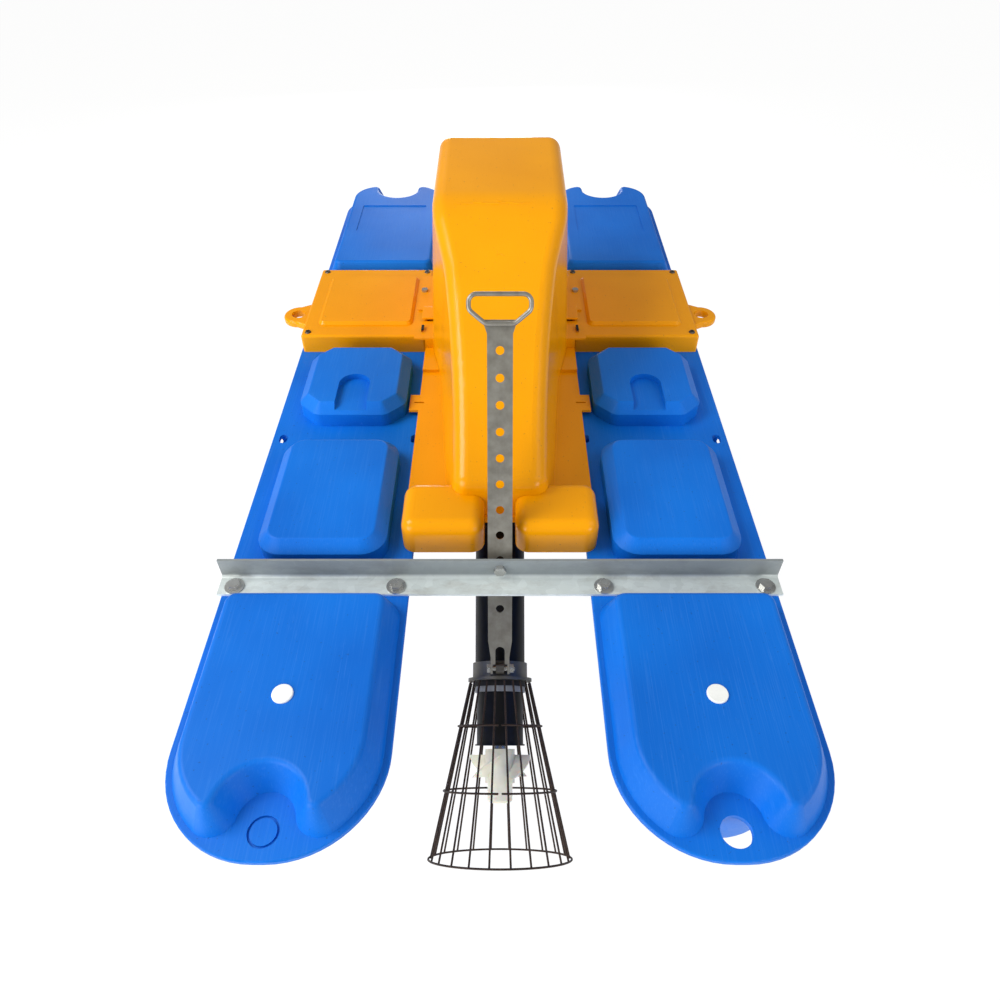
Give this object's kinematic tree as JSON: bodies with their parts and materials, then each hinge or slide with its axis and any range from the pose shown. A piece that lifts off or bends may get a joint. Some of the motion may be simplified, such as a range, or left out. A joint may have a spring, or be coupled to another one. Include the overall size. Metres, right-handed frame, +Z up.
{
  "type": "jet aerator",
  "caption": "Floating jet aerator: moulded float raft, hooded motor, tilting drive tube, caged impeller and a lifting strap with a handle.",
  "frame": {"origin": "under the middle of the floats, at the height of the guard cage's lowest point", "axes": "+X across the raft, +Y along the floats towards the motor end, +Z up"},
  "size_m": [0.953, 1.828, 0.7808],
  "materials": {
    "blue_float": "satin",
    "white_plug": "satin",
    "yellow_plastic": "gloss",
    "stainless": "satin",
    "galvanised": "galvanised",
    "brass": "satin",
    "black_plastic": "satin",
    "grey_aluminium": "painted cast",
    "steel_core": "laminated",
    "bearing_steel": "ground",
    "black_tube": "satin",
    "black_rubber": "matt",
    "grey_plastic": "satin",
    "cream_nylon": "satin",
    "rusty_wire": "oxidised"
  },
  "bodies": {
    "raft": {"float_left": "blue_float", "float_right": "blue_float", "fill_plugs": "white_plug", "cross_box_left": "yellow_plastic", "cross_box_right": "yellow_plastic", "box_screws": "stainless", "cross_angle": "galvanised", "angle_washers": "stainless", "angle_bolts": "stainless", "float_inserts": "brass", "lock_bolt": "stainless", "motor_tray": "yellow_plastic", "hood": "yellow_plastic", "hood_bolts": "stainless", "pivot_bracket_left": "stainless", "pivot_bracket_right": "stainless", "pivot_bushes": "black_plastic", "bracket_bolts": "stainless", "bracket_nuts": "stainless"},
    "drive_unit": {"motor_housing": "grey_aluminium", "front_bell": "grey_aluminium", "stator": "steel_core", "motor_bearings": "bearing_steel", "fan_cover": "black_plastic", "cradle": "stainless", "terminal_box": "grey_aluminium", "terminal_lid": "grey_aluminium", "cable_gland": "black_plastic", "coupling_housing": "grey_aluminium", "drive_tube": "black_tube", "flange_bolts": "stainless", "flange_nuts": "stainless", "collar": "stainless", "seal_ring": "black_rubber", "spacer_ring": "grey_plastic", "outlet_pipe": "black_plastic", "lower_bearing": "cream_nylon", "guard_cage": "rusty_wire", "clevis_bolt": "stainless", "clevis_nut": "stainless"},
    "rotor": {"motor_shaft": "bearing_steel", "cooling_fan": "black_plastic", "shaft_coupling": "bearing_steel", "drive_shaft": "stainless", "impeller": "cream_nylon", "impeller_nose": "cream_nylon"},
    "lifting_strap": {"strap": "stainless", "strap_handle": "stainless"}
  },
  "joints": [
    {"name": "tilt", "type": "hinge", "parent": "raft", "child": "drive_unit", "pos_m": [0, 0.164, 0.59089], "axis": [1, 0, 0], "range_deg": [0, 20]},
    {"name": "strap_swing", "type": "hinge", "parent": "drive_unit", "child": "lifting_strap", "pos_m": [0, -0.56602, 0.27999], "axis": [1, 0, 0], "range_deg": [0, 20.1]},
    {"name": "shaft_spin", "type": "hinge", "parent": "drive_unit", "child": "rotor", "pos_m": [0, 0.164, 0.59089], "axis": [0, -0.891, -0.454], "continuous": true}
  ],
  "couplings": [
    {"joint": "strap_swing", "follows": "tilt", "ratio": 1}
  ]
}
